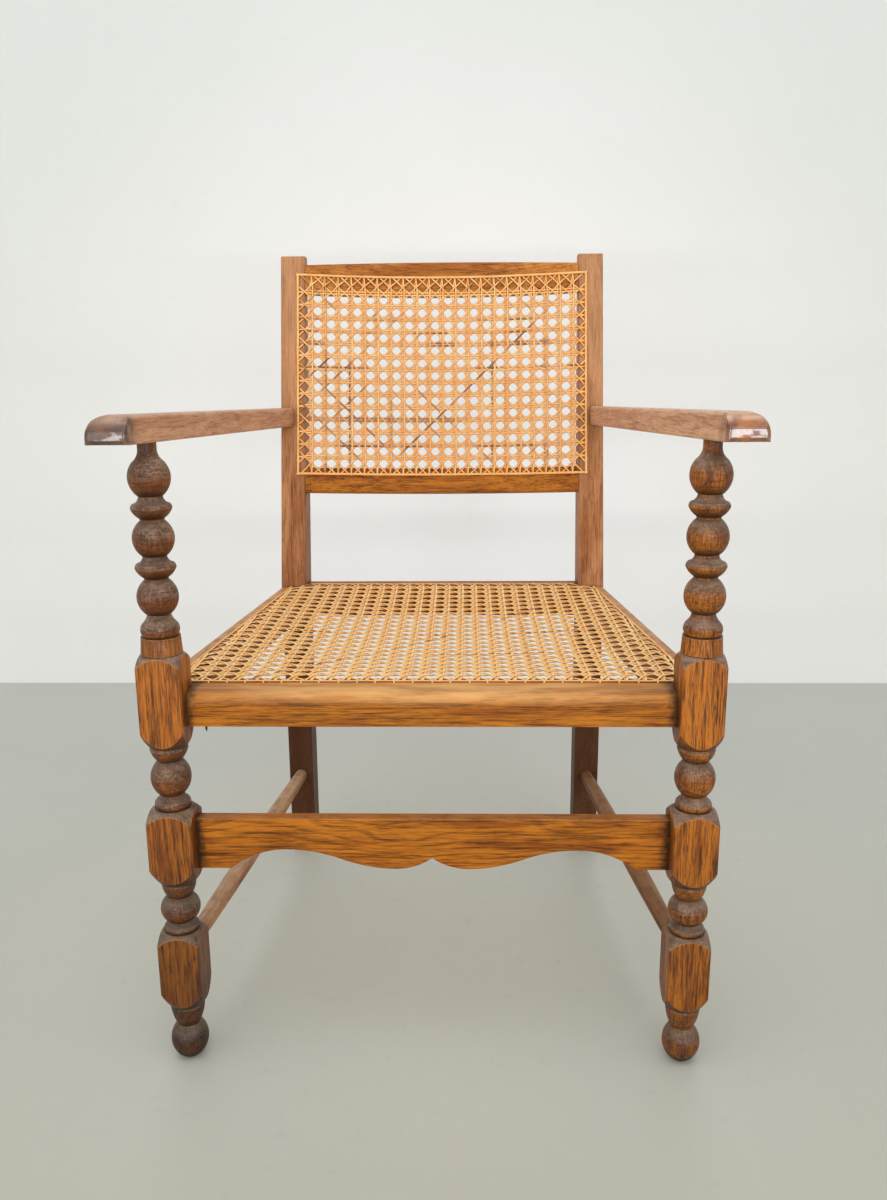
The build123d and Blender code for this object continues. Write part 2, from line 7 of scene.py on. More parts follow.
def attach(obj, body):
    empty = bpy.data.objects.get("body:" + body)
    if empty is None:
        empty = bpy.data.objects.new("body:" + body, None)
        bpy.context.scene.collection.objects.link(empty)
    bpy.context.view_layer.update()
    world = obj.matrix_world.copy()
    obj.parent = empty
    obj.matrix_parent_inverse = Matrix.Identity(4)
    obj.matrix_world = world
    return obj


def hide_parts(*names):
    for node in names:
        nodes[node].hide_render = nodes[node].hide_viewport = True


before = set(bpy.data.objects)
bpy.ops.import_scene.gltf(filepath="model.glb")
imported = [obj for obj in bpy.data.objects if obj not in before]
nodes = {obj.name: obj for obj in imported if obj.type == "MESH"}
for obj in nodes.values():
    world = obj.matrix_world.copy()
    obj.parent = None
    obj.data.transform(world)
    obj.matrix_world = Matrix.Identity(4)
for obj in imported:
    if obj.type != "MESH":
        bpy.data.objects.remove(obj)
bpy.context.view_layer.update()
scene = bpy.context.scene
scene.view_settings.view_transform = "Standard"
print("frame loaded,", len(nodes), "nodes")


def tone(red, green, blue):  # screen colour, 0 to 255, to a linear one
    def linear(value):
        value /= 255
        return value / 12.92 if value <= 0.04045 else ((value + 0.055) / 1.055) ** 2.4
    return (linear(red), linear(green), linear(blue), 1.0)


def feed(tree, socket, value):  # a link or a fixed value
    if isinstance(value, bpy.types.NodeSocket):
        tree.links.new(value, socket)
    else:
        socket.default_value = value


def addNode(tree, kind, sockets=None, **settings):
    node = tree.nodes.new(kind)
    for key, value in settings.items():
        setattr(node, key, value)
    for key, value in (sockets or {}).items():
        feed(tree, node.inputs[key], value)
    return node


def calc(tree, operation, first, second=0.0, third=0.0):
    return addNode(tree, "ShaderNodeMath", {0: first, 1: second, 2: third}, operation=operation).outputs[0]


def ramp(tree, value, low, high, toLow=0.0, toHigh=1.0):
    return addNode(tree, "ShaderNodeMapRange", {"Value": value, "From Min": low, "From Max": high, "To Min": toLow,
                                                "To Max": toHigh}, interpolation_type="SMOOTHSTEP").outputs["Result"]


def between(tree, value, low, high):  # 1 from low to high, else 0
    return calc(tree, "MULTIPLY", calc(tree, "GREATER_THAN", value, low), calc(tree, "LESS_THAN", value, high))


def mixColour(tree, factor, first, second, blend="MIX"):  # sockets 6 and 7 are the two colours
    return addNode(tree, "ShaderNodeMix", {0: factor, 6: first, 7: second},
                   data_type="RGBA", blend_type=blend).outputs[2]


def scaled(tree, vector, scale):
    return addNode(tree, "ShaderNodeVectorMath", {0: vector, 1: scale}, operation="MULTIPLY").outputs[0]


def noise(tree, vector, scale, detail, rough, bend=0.0):
    return addNode(tree, "ShaderNodeTexNoise", {"Vector": vector, "Scale": scale, "Detail": detail,
                                                "Roughness": rough, "Distortion": bend}).outputs["Fac"]


def stretchedNoise(tree, vector, scales, detail, rough, bend=0.0):  # with a scale for each axis
    return noise(tree, scaled(tree, vector, scales), 1.0, detail, rough, bend)


def splitVector(tree, vector):
    return addNode(tree, "ShaderNodeSeparateXYZ", {0: vector}).outputs


def newGroup(name, kind, inputs, outputs):  # group, what it is given, what it gives, identifiers of its inputs
    group = bpy.data.node_groups.new(name, kind)
    sockets = {}
    for label, sort in inputs:
        sockets[label] = group.interface.new_socket(label, in_out="INPUT", socket_type="NodeSocket" + sort).identifier
    for label, sort in outputs:
        group.interface.new_socket(label, in_out="OUTPUT", socket_type="NodeSocket" + sort)
    return group, group.nodes.new("NodeGroupInput").outputs, group.nodes.new("NodeGroupOutput").inputs, sockets


def useGroup(tree, group, sockets):
    return addNode(tree, "ShaderNodeGroup", sockets, node_tree=group).outputs


# Effects that all the oak shares. In this and later dictionaries a noise is its scale (one number, or one for
# each axis), detail, roughness and distortion, and a band is from, to, and what it gives at both ends

figureShape = {
    "wideNoise": ((30, 30, 2.4), 3.0, 0.55, 0.6), "bendNoise": ((16, 16, 3.0), 2.0, 0.5),
    "mottleNoise": ((85, 85, 15), 3.0, 0.6, 0.4), "lineNoise": ((640, 640, 20), 3.0, 0.7, 0.2),
    "fibreNoise": ((1300, 1300, 70), 2.0, 0.6),
    "ringBand": (0.35, 0.95), "ringBreaks": (0.34, 0.6, 0.25, 1.0), "streakBand": (0.49, 0.59),
    "streakFade": (0.34, 0.62, 0.5, 1.0), "poreBand": (0.54, 0.68), "cloudBand": (0.4, 0.6),
    "wideShare": 0.55, "mottleShare": 0.45, "streakDepth": -0.4, "poreDepth": -0.6,
}


def makeOakFigure(shape):  # grain that runs along Z of the vector it gets
    group, given, out = newGroup("oakFigure", "ShaderNodeTree", [
        ("Vector", "Vector"), ("Light", "Color"), ("Body", "Color"), ("Dark", "Color"), ("Streaks", "Float"),
        ("Pores", "Float"), ("Rings", "Float"), ("Spacing", "Float"), ("Warp", "Float"),
    ], [("Color", "Color"), ("Height", "Float"), ("Shade", "Float")])[:3]
    vector = given["Vector"]
    wide, bend, mottle, line, fibre = (
        stretchedNoise(group, vector, *shape[key])
        for key in ("wideNoise", "bendNoise", "mottleNoise", "lineNoise", "fibreNoise"))
    flat = scaled(group, vector, (1, 1, 0))
    across = addNode(group, "ShaderNodeVectorMath", {0: flat}, operation="LENGTH").outputs["Value"]
    across = calc(group, "MULTIPLY_ADD", calc(group, "SUBTRACT", bend, 0.5), given["Warp"], across)
    ring = calc(group, "SINE", calc(group, "DIVIDE", calc(group, "MULTIPLY", across, 2 * math.pi), given["Spacing"]))
    grown = calc(group, "MULTIPLY", ramp(group, ring, *shape["ringBand"]), ramp(group, line, *shape["ringBreaks"]))
    grown = calc(group, "MULTIPLY", grown, given["Rings"])
    streak = calc(group, "MULTIPLY", ramp(group, line, *shape["streakBand"]), given["Streaks"])
    streak = calc(group, "MULTIPLY", streak, ramp(group, mottle, *shape["streakFade"]))
    pore = calc(group, "MULTIPLY", ramp(group, fibre, *shape["poreBand"]), given["Pores"])
    cloud = calc(group, "MULTIPLY", mottle, shape["mottleShare"])
    cloud = calc(group, "MULTIPLY_ADD", wide, shape["wideShare"], cloud)
    colour = mixColour(group, ramp(group, cloud, *shape["cloudBand"]), given["Light"], given["Body"])
    for mask in (grown, streak, pore):
        colour = mixColour(group, mask, colour, given["Dark"])
    height = calc(group, "MULTIPLY_ADD", streak, shape["streakDepth"], 1.0)
    height = calc(group, "MULTIPLY_ADD", pore, shape["poreDepth"], height)
    group.links.new(colour, out["Color"])
    group.links.new(height, out["Height"])
    group.links.new(calc(group, "MAXIMUM", streak, grown), out["Shade"])
    return group


ageingShape = {
    "samples": 6, "patchNoise": (55.0, 4.0, 0.65), "speckNoise": (420.0, 2.0, 0.6),
    "wearBand": (0.992, 0.9), "wearPatches": (0.38, 0.62, 0.3, 1.0), "dirtAndShadeBand": (0.86, 0.4),
    "dirtAndShadeSpecks": (0.2, 0.7, 0.6, 1.0), "dustBand": (0.2, 0.85), "dustPatches": (0.3, 0.65, 0.3, 1.0),
}


def makeAgeing(shape):  # wear on edges, dirt and painted shade in hollows, dust on what faces up
    group, given, out = newGroup(
        "ageing", "ShaderNodeTree", [("Vector", "Vector"), ("Edge Width", "Float"), ("Hollow Reach", "Float")],
        [("Wear", "Float"), ("DirtAndShade", "Float"), ("Dust", "Float"), ("Up", "Float"), ("Normal", "Vector")])[:3]
    samples = shape["samples"]
    rounded = addNode(group, "ShaderNodeBevel", {"Radius": given["Edge Width"]}, samples=samples).outputs[0]
    hollow = addNode(group, "ShaderNodeAmbientOcclusion", {"Distance": given["Hollow Reach"]}, samples=samples)
    facing = addNode(group, "ShaderNodeNewGeometry").outputs["Normal"]
    agree = addNode(group, "ShaderNodeVectorMath", {0: rounded, 1: facing}, operation="DOT_PRODUCT").outputs["Value"]
    patch = noise(group, given["Vector"], *shape["patchNoise"])
    speck = noise(group, given["Vector"], *shape["speckNoise"])
    up = splitVector(group, facing)["Z"]
    wear = calc(group, "MULTIPLY", ramp(group, agree, *shape["wearBand"]), ramp(group, patch, *shape["wearPatches"]))
    # dirt and painted shade: the hollows mask darkens recesses and faces close beside other parts
    dirtAndShade = ramp(group, hollow.outputs["AO"], *shape["dirtAndShadeBand"])
    dirtAndShade = calc(group, "MULTIPLY", dirtAndShade, ramp(group, speck, *shape["dirtAndShadeSpecks"]))
    dust = calc(group, "MULTIPLY", ramp(group, up, *shape["dustBand"]), ramp(group, patch, *shape["dustPatches"]))
    for label, value in (("Wear", wear), ("DirtAndShade", dirtAndShade), ("Dust", dust), ("Up", up), ("Normal", rounded)):
        group.links.new(value, out[label])
    return group


oakFigure = makeOakFigure(figureShape)
ageing = makeAgeing(ageingShape)


def newMaterial(name, roughness, coat=0.0, coatRoughness=0.3, specular=0.5, coatIndex=1.5):
    material = bpy.data.materials.new(name)
    material.use_nodes = True
    tree = material.node_tree
    shader = tree.nodes["Principled BSDF"]
    shader.inputs["Roughness"].default_value = roughness
    shader.inputs["Coat Weight"].default_value = coat
    shader.inputs["Coat Roughness"].default_value = coatRoughness
    shader.inputs["Coat IOR"].default_value = coatIndex
    shader.inputs["Specular IOR Level"].default_value = specular
    return material, tree, shader


def oakMaterial(name, finish, turn, shift, extra):
    material, tree, shader = newMaterial(name, finish["roughness"], finish["coat"], finish["coatRoughness"],
                                         finish["specular"], finish["coatIndex"])
    place = addNode(tree, "ShaderNodeTexCoord").outputs["Object"]
    vector = addNode(tree, "ShaderNodeMapping", {"Vector": place, "Rotation": turn, "Location": shift}).outputs[0]
    figure = useGroup(tree, oakFigure, {"Vector": vector, "Light": finish["light"], "Body": finish["body"],
                                        "Dark": finish["dark"], "Streaks": finish["streaks"], "Pores": finish["pores"],
                                        "Rings": finish["rings"], "Spacing": finish["spacing"], "Warp": finish["warp"]})
    age = useGroup(tree, ageing, {"Vector": place, "Edge Width": finish["edge"], "Hollow Reach": finish["reach"]})
    colour, shine = figure["Color"], None
    if extra:
        colour, shine = extra(tree, splitVector(tree, place), place, colour, age["Up"])
    colour = mixColour(tree, calc(tree, "MULTIPLY", age["Dust"], finish["dust"]), colour, finish["dustColour"])
    colour = mixColour(tree, calc(tree, "MULTIPLY", age["Wear"], finish["wear"]), colour, finish["wornColour"])
    # dirt and painted shade in the hollows
    colour = mixColour(tree, calc(tree, "MULTIPLY", age["DirtAndShade"], finish["dirtAndShade"]), colour, finish["dirtAndShadeColour"])
    tree.links.new(colour, shader.inputs["Base Color"])
    rough = calc(tree, "MULTIPLY_ADD", figure["Shade"], finish["grainRough"], finish["roughness"])
    rough = calc(tree, "MULTIPLY_ADD", age["DirtAndShade"], finish["dirtAndShadeRough"], rough)
    if shine:  # rubbed places
        rough = calc(tree, "MULTIPLY_ADD", shine, finish["rubbedRough"], rough)
        polish = calc(tree, "MULTIPLY_ADD", shine, finish["rubbedCoat"], finish["coat"])
        tree.links.new(polish, shader.inputs["Coat Weight"])
    tree.links.new(rough, shader.inputs["Roughness"])
    bump = addNode(tree, "ShaderNodeBump", {"Strength": finish["bump"], "Distance": finish["bumpDepth"],
                                            "Height": figure["Height"], "Normal": age["Normal"]})
    tree.links.new(bump.outputs[0], shader.inputs["Normal"])
    return material


# Camera of the photograph, focal length and long side in its pixels

photoCamera = {
    "focal": 1001.6, "longSide": 1200, "place": (0.0351, -1.1948, 0.7164),
    "tilt": 13.344, "yaw": -1.353, "roll": -0.401, "sensor": 36, "clip": (0.05, 30),
}


def makeCamera(given):
    tilt, yaw, roll = (math.radians(given[key]) for key in ("tilt", "yaw", "roll"))
    ahead = Vector((math.sin(yaw) * math.cos(tilt), math.cos(yaw) * math.cos(tilt), -math.sin(tilt)))
    level = Vector((math.cos(yaw), -math.sin(yaw), 0))
    up = level.cross(ahead)
    across = math.cos(roll) * level + math.sin(roll) * up
    upright = -math.sin(roll) * level + math.cos(roll) * up
    data = bpy.data.cameras.new("photoCamera")
    data.sensor_width = given["sensor"]
    data.lens = given["focal"] / given["longSide"] * data.sensor_width
    data.clip_start, data.clip_end = given["clip"]
    camera = bpy.data.objects.new("photoCamera", data)
    camera.matrix_world = Matrix.Translation(given["place"]) @ Matrix((across, upright, -ahead)).transposed().to_4x4()
    scene.collection.objects.link(camera)
    scene.camera = camera


makeCamera(photoCamera)

# Floor, wall and light

room = {
    "half": 6.0, "wallPlace": 1.0, "sky": (1.0, 1.0, 1.0, 1.0), "skyStrength": 0.9,
    "stain": tone(170, 170, 160), "stainShare": 0.1, "cloudNoise": (3.0, 4.0, 0.6), "cloudBand": (0.3, 0.7),
    "roughSpread": 0.12, "scuffNoise": (38.0, 5.0, 0.7), "scuffBand": (0.56, 0.74),
}
floorLooks = {
    "near": tone(181, 181, 169), "far": tone(184, 186, 180), "axis": "Y", "reach": (-0.5, 0.9),
    # painted light: a paler pool on the floor under the chair
    "paintedLight": tone(201, 202, 192), "paintedLightPlace": (0, 0.05, 0), "paintedLightBand": (0.72, 0.1), "roughness": 0.4, "scuffs": 0.3,
}
wallLooks = {
    # the wall is darker towards the top, painted shade that evens out the lamps
    "near": tone(235, 235, 231), "far": tone(222, 225, 222), "axis": "Z", "reach": (0.1, 1.5),
    # painted light: a paler pool on the wall behind the chair
    "paintedLight": tone(249, 248, 248), "paintedLightPlace": (0, room["wallPlace"], 0.5), "paintedLightBand": (1.15, 0.1),
    "roughness": 0.8, "scuffs": 0.06,
}
lamps = {  # the two side lamps shine off the front ends of the arms
    "topLamp": {"place": (-0.2, -0.9, 3.1), "target": (0, 0, 0.4), "size": (2.6, 2.0), "power": 17},
    "frontLamp": {"place": (0.5, -3.3, 1.7), "target": (0, 0, 0.5), "size": (2.4, 1.5), "power": 10},
    "leftLamp": {"place": (-1.22, -2.9, 0.63), "target": (0, 0, 0.5), "size": (0.7, 0.26), "power": 4.5},
    "rightLamp": {"place": (1.02, -2.9, 0.63), "target": (0, 0, 0.5), "size": (0.7, 0.26), "power": 4.5},
    "lowLamp": {"place": (-0.1, -2.9, 0.46), "target": (0, 0, 0.5), "size": (4.6, 0.09), "power": 23},
}


def stagePlane(name, corners, looks):
    mesh = bpy.data.meshes.new(name)
    mesh.from_pydata(corners, [], [(0, 1, 2, 3)])
    plane = bpy.data.objects.new(name, mesh)
    scene.collection.objects.link(plane)
    material, tree, shader = newMaterial(name + "Paint", looks["roughness"])
    place = addNode(tree, "ShaderNodeTexCoord").outputs["Object"]
    cloud = noise(tree, place, *room["cloudNoise"])
    along = splitVector(tree, place)[looks["axis"]]
    shade = mixColour(tree, ramp(tree, along, *looks["reach"]), looks["near"], looks["far"])
    away = addNode(tree, "ShaderNodeVectorMath", {0: place, 1: looks["paintedLightPlace"]}, operation="DISTANCE")
    # painted light against the chair's shadow
    shade = mixColour(tree, ramp(tree, away.outputs["Value"], *looks["paintedLightBand"]), shade, looks["paintedLight"])
    shade = mixColour(tree, calc(tree, "MULTIPLY", cloud, room["stainShare"]), shade, room["stain"])
    scuff = ramp(tree, noise(tree, place, *room["scuffNoise"]), *room["scuffBand"], 0.0, looks["scuffs"])
    shade = mixColour(tree, scuff, shade, room["stain"])
    tree.links.new(shade, shader.inputs["Base Color"])
    smooth, rough = looks["roughness"], looks["roughness"] + room["roughSpread"]
    tree.links.new(ramp(tree, cloud, *room["cloudBand"], smooth, rough), shader.inputs["Roughness"])
    clear = addNode(tree, "ShaderNodeBsdfTransparent")
    seen = addNode(tree, "ShaderNodeNewGeometry").outputs["Backfacing"]  # open from behind and below
    both = addNode(tree, "ShaderNodeMixShader", {0: seen, 1: shader.outputs[0], 2: clear.outputs[0]})
    tree.links.new(both.outputs[0], tree.nodes["Material Output"].inputs["Surface"])
    mesh.materials.append(material)


def areaLamp(name, place, target, size, power):
    data = bpy.data.lights.new(name, "AREA")
    data.shape, data.size, data.size_y = "RECTANGLE", size[0], size[1]
    data.energy = power
    lamp = bpy.data.objects.new(name, data)
    lamp.location = place
    lamp.rotation_mode = "QUATERNION"
    lamp.rotation_quaternion = (Vector(target) - Vector(place)).to_track_quat("-Z", "Y")
    scene.collection.objects.link(lamp)


def makeRoom(given):
    half, wall = given["half"], given["wallPlace"]
    stagePlane("floor", [(-half, -half, 0), (half, -half, 0), (half, wall, 0), (-half, wall, 0)], floorLooks)
    stagePlane("wall", [(-half, wall, 0), (half, wall, 0), (half, wall, half), (-half, wall, half)], wallLooks)
    world = bpy.data.worlds.new("studio")
    world.use_nodes = True
    sky = world.node_tree.nodes["Background"]
    sky.inputs["Color"].default_value = given["sky"]
    sky.inputs["Strength"].default_value = given["skyStrength"]
    scene.world = world
    for name, lamp in lamps.items():
        areaLamp(name, **lamp)


makeRoom(room)
print("camera, room and lamps made")

# Oak finishes

goldenOak = {
    "light": tone(192, 116, 26), "body": tone(148, 78, 10), "dark": tone(52, 24, 5),
    "streaks": 0.72, "pores": 0.45, "rings": 0.2, "spacing": 0.0046, "warp": 0.03,
    "roughness": 0.48, "grainRough": 0.14, "dirtAndShadeRough": 0.15, "rubbedRough": -0.22, "specular": 0.16,
    "coat": 0.02, "rubbedCoat": 0.94, "coatRoughness": 0.35, "coatIndex": 1.5, "bump": 0.4, "bumpDepth": 0.0006,
    "edge": 0.0018, "wear": 0.5, "wornColour": tone(214, 152, 84), "dust": 0.08, "dustColour": tone(200, 146, 92),
    "reach": 0.009, "dirtAndShade": 0.9, "dirtAndShadeColour": tone(34, 19, 8),
}
cleanOak = dict(goldenOak, dirtAndShade=0.5, reach=0.006)
handledOak = dict(goldenOak, streaks=0.5, edge=0.003, dust=0.45, roughness=0.38, coat=0.06, specular=0.4)
finishes = {
    # the wide hollow reach paints shade on the block faces beside the rails
    "turned": dict(goldenOak, light=tone(184, 106, 22), body=tone(138, 70, 10), streaks=0.84, pores=0.7, dust=0.3,
                   dustColour=tone(166, 144, 124), wornColour=tone(206, 152, 96), reach=0.024, specular=0.3,
                   coat=0.05, roughness=0.4, bump=0.7),
    "rail": dict(cleanOak, light=tone(186, 112, 24), body=tone(146, 77, 10)),
    "stretcher": dict(goldenOak, light=tone(184, 109, 24), body=tone(140, 73, 10), dust=0.55,
                      dustColour=tone(196, 134, 78), warp=0.09, rings=0.5, spacing=0.0062, streaks=0.66),
    "stile": dict(cleanOak, light=tone(190, 132, 84), body=tone(156, 95, 52), dark=tone(70, 32, 12), streaks=0.6,
                  dust=0.3, dustColour=tone(206, 166, 132), specular=0.18),
    "crest": dict(cleanOak, light=tone(206, 134, 60), body=tone(166, 95, 34), dark=tone(64, 30, 8), streaks=0.6),
    "rod": dict(goldenOak, light=tone(190, 140, 96), body=tone(150, 96, 56), dark=tone(58, 32, 16), streaks=0.6,
                dust=0.55, dustColour=tone(212, 182, 152)),
    "darkRod": dict(goldenOak, light=tone(138, 88, 46), body=tone(100, 58, 27), dark=tone(44, 24, 12), streaks=0.65,
                    dust=0.35, dustColour=tone(176, 138, 106)),
    "arm": dict(handledOak, light=tone(204, 150, 114), body=tone(180, 122, 86), dark=tone(84, 44, 24),
                dustColour=tone(214, 180, 154), coatRoughness=0.1, coatIndex=1.55),
    "paleArm": dict(handledOak, light=tone(216, 166, 130), body=tone(194, 138, 102), dark=tone(96, 52, 30),
                    dustColour=tone(220, 188, 164), coatRoughness=0.08, coatIndex=1.7),
    "sideRail": dict(goldenOak, dust=0.75, dustColour=tone(204, 164, 122)),
    "hidden": dict(goldenOak, light=tone(190, 140, 90), body=tone(168, 112, 62)),
}

# Turned posts: golden flats, and greyer turning with dust and a painted sheen on the faces turned up and painted shade
# under each ball

postShape = {
    "side": 0.26, "depth": -0.26837, "halfBlock": 0.0213, "midBlock": (0.2, 0.292), "midExtra": 0.0012,
    "flatBand": (-0.0006, -0.0001), "collar": (0.4445, 0.466), "collarGold": 0.5, "turnedGold": 0.15,
    # paleGrey and darkGrey are dust with a painted sheen, under is painted shade
    "patchNoise": (70.0, 3.0, 0.6), "greyBand": (0.35, 0.65), "paleGrey": tone(138, 112, 92),
    "darkGrey": tone(84, 60, 44),
    "amberBand": (0.4, 0.6), "amberShares": (0.8, 1.15), "amber": tone(104, 56, 26),
    "goldShift": 0.6, "dustAndSheenFacing": (-0.44, 0.11), "underShadeBand": (-0.3, -0.75), "under": tone(34, 20, 11),
    "grooveNoise": ((70, 70, 520), 3.0, 0.75), "grooveBand": (0.46, 0.6), "groove": tone(44, 28, 18),
    "speckNoise": ((420, 420, 300), 3.0, 0.7), "speckBand": (0.52, 0.64, 0.0, 0.6), "speck": tone(36, 22, 13),
    "bloomBand": (0.46, 0.36, 0.0, 0.42), "bloom": tone(172, 142, 114), "shadeHeights": (0.0, 0.42),
}


def postLooks(lowShade, gold, lathe):
    def looks(tree, parts, place, colour, up):
        given = postShape
        side = calc(tree, "ABSOLUTE", calc(tree, "SUBTRACT", calc(tree, "ABSOLUTE", parts["X"]), given["side"]))
        depth = calc(tree, "ABSOLUTE", calc(tree, "SUBTRACT", parts["Y"], given["depth"]))
        middle = between(tree, parts["Z"], *given["midBlock"])
        half = calc(tree, "MULTIPLY_ADD", middle, given["midExtra"], given["halfBlock"])
        flat = ramp(tree, calc(tree, "SUBTRACT", calc(tree, "MAXIMUM", side, depth), half), *given["flatBand"])
        patch = noise(tree, place, *given["patchNoise"])
        groove = stretchedNoise(tree, place, *given["grooveNoise"])
        speck = stretchedNoise(tree, place, *given["speckNoise"])
        grey = mixColour(tree, ramp(tree, patch, *given["greyBand"]), given["paleGrey"], given["darkGrey"])
        shares = [share - gold for share in given["amberShares"]]
        amber = mixColour(tree, ramp(tree, patch, *given["amberBand"], *shares), colour, given["amber"])
        # dust and a painted sheen: the grey goes on the faces turned up, and the pale bloom specks with it
        dustAndSheen = ramp(tree, up, *(given["goldShift"] * gold + limit for limit in given["dustAndSheenFacing"]))
        turned = mixColour(tree, dustAndSheen, amber, grey)
        # painted shade: faces turned down go dark
        turned = mixColour(tree, ramp(tree, up, *given["underShadeBand"]), turned, given["under"])
        turned = mixColour(tree, ramp(tree, groove, *given["grooveBand"], 0.0, lathe), turned, given["groove"])
        turned = mixColour(tree, ramp(tree, speck, *given["speckBand"]), turned, given["speck"])
        bloom = calc(tree, "MULTIPLY", ramp(tree, speck, *given["bloomBand"]), dustAndSheen)
        turned = mixColour(tree, bloom, turned, given["bloom"])
        collar = between(tree, parts["Z"], *given["collar"])
        golden = calc(tree, "MULTIPLY_ADD", collar, given["collarGold"], given["turnedGold"])
        turned = mixColour(tree, golden, turned, colour)
        shade = ramp(tree, parts["Z"], *given["shadeHeights"], lowShade, 1.0)
        shade = addNode(tree, "ShaderNodeCombineColor", {0: shade, 1: shade, 2: shade}).outputs[0]
        return mixColour(tree, 1.0, mixColour(tree, flat, turned, colour), shade, "MULTIPLY"), None
    return looks


# Front rail and stretcher: dark bands beside the posts, dirt and painted shade, and the rail's rounded upper edge is
# rubbed pale with a painted highlight

frontShape = {
    "railEnd": 0.2387, "stretcherEnd": 0.2375, "dirtAndShadeNoise": (160.0, 3.0, 0.6), "dirtAndShadeSpread": 0.016,
    "dirtAndShadeBand": (0.021, 0.009, 0.0, 0.85), "dirtAndShade": tone(44, 24, 10), "rubbedNoise": ((14, 60, 60), 3.0, 0.6),
    "rubbedSpan": (0.24, 0.1, 0.35, 1.0), "rubbedAndHighlightFacing": (-0.1, 0.9), "rubbedBand": (0.3, 0.65, 0.35, 0.85),
    "rubbedAndHighlight": tone(230, 176, 112),
}


def endDirtAndShade(tree, parts, place, colour, end):
    given = frontShape
    reach = calc(tree, "SUBTRACT", end, calc(tree, "ABSOLUTE", parts["X"]))
    ragged = calc(tree, "MULTIPLY_ADD", noise(tree, place, *given["dirtAndShadeNoise"]), given["dirtAndShadeSpread"], reach)
    # dirt and painted shade in a ragged band where the rail meets the post
    return mixColour(tree, ramp(tree, ragged, *given["dirtAndShadeBand"]), colour, given["dirtAndShade"])


def frontRailLooks(tree, parts, place, colour, up):
    given = frontShape
    patch = stretchedNoise(tree, place, *given["rubbedNoise"])
    middle = ramp(tree, calc(tree, "ABSOLUTE", parts["X"]), *given["rubbedSpan"])
    # wear and a painted highlight: the upper faces of the rounded edge go pale
    rubbedAndHighlight = ramp(tree, up, *given["rubbedAndHighlightFacing"])
    rubbedAndHighlight = calc(tree, "MULTIPLY", rubbedAndHighlight, ramp(tree, patch, *given["rubbedBand"]))
    colour = mixColour(tree, calc(tree, "MULTIPLY", rubbedAndHighlight, middle), colour, given["rubbedAndHighlight"])
    return endDirtAndShade(tree, parts, place, colour, given["railEnd"]), None


def stretcherLooks(tree, parts, place, colour, up):
    return endDirtAndShade(tree, parts, place, colour, frontShape["stretcherEnd"]), None


# Stiles: legs under the seat are dark and mottled, darker wood with painted shade, and the top is paler with a painted
# sheen

stileShape = {
    "patchNoise": ((40, 40, 9), 3.0, 0.6), "patchSpread": 0.12, "topSheenBand": (0.56, 0.82, 0.0, 0.35),
    "top": tone(198, 150, 112), "lowBand": (0.62, 0.48), "low": tone(110, 58, 26), "legBand": (0.47, 0.42, 0.0, 0.88),
    "blotchNoise": ((60, 60, 34), 4.0, 0.65), "blotchBand": (0.5, 0.64, 0.0, 0.6), "blotch": tone(140, 78, 24),
    "leg": tone(54, 25, 5), "footBand": (0.16, 0.3),
}


def stileLooks(lowShade):
    def looks(tree, parts, place, colour, up):
        given = stileShape
        patch = stretchedNoise(tree, place, *given["patchNoise"])
        height = calc(tree, "MULTIPLY_ADD", patch, given["patchSpread"], parts["Z"])
        # painted sheen: the top is paler
        colour = mixColour(tree, ramp(tree, height, *given["topSheenBand"]), colour, given["top"])
        colour = mixColour(tree, ramp(tree, height, *given["lowBand"], 0.0, lowShade), colour, given["low"])
        blotch = stretchedNoise(tree, place, *given["blotchNoise"])
        dark = mixColour(tree, ramp(tree, blotch, *given["blotchBand"]), given["leg"], given["blotch"])
        dark = mixColour(tree, ramp(tree, parts["Z"], *given["footBand"]), given["leg"], dark)
        # darker wood and painted shade on the legs under the seat
        return mixColour(tree, ramp(tree, height, *given["legBand"]), colour, dark), None
    return looks


# Arms: hands have darkened and polished the front ends

armShape = {
    "patchNoise": (45.0, 3.0, 0.6), "patchSpread": 0.02, "noseBand": (-0.302, -0.322), "noseShare": 0.92,
    "topFacing": (0.98, 0.75, 0.25, 1.0), "toneBand": (0.35, 0.65),
    "polishNoise": ((50, 50, 130), 3.0, 0.6), "polishBand": (0.42, 0.54, 0.12, 1.0),
}


def armLooks(deep, bright):
    def looks(tree, parts, place, colour, up):
        given = armShape
        patch = noise(tree, place, *given["patchNoise"])
        nose = ramp(tree, calc(tree, "MULTIPLY_ADD", patch, given["patchSpread"], parts["Y"]), *given["noseBand"])
        nose = calc(tree, "MULTIPLY", nose, ramp(tree, up, *given["topFacing"]))
        dark = mixColour(tree, ramp(tree, patch, *given["toneBand"]), deep, bright)
        smooth = ramp(tree, stretchedNoise(tree, place, *given["polishNoise"]), *given["polishBand"])
        colour = mixColour(tree, calc(tree, "MULTIPLY", nose, given["noseShare"]), colour, dark)
        return colour, calc(tree, "MULTIPLY", nose, smooth)
    return looks


# How the grain runs, and the finish of each piece with its turn, its place in the figure and its own looks

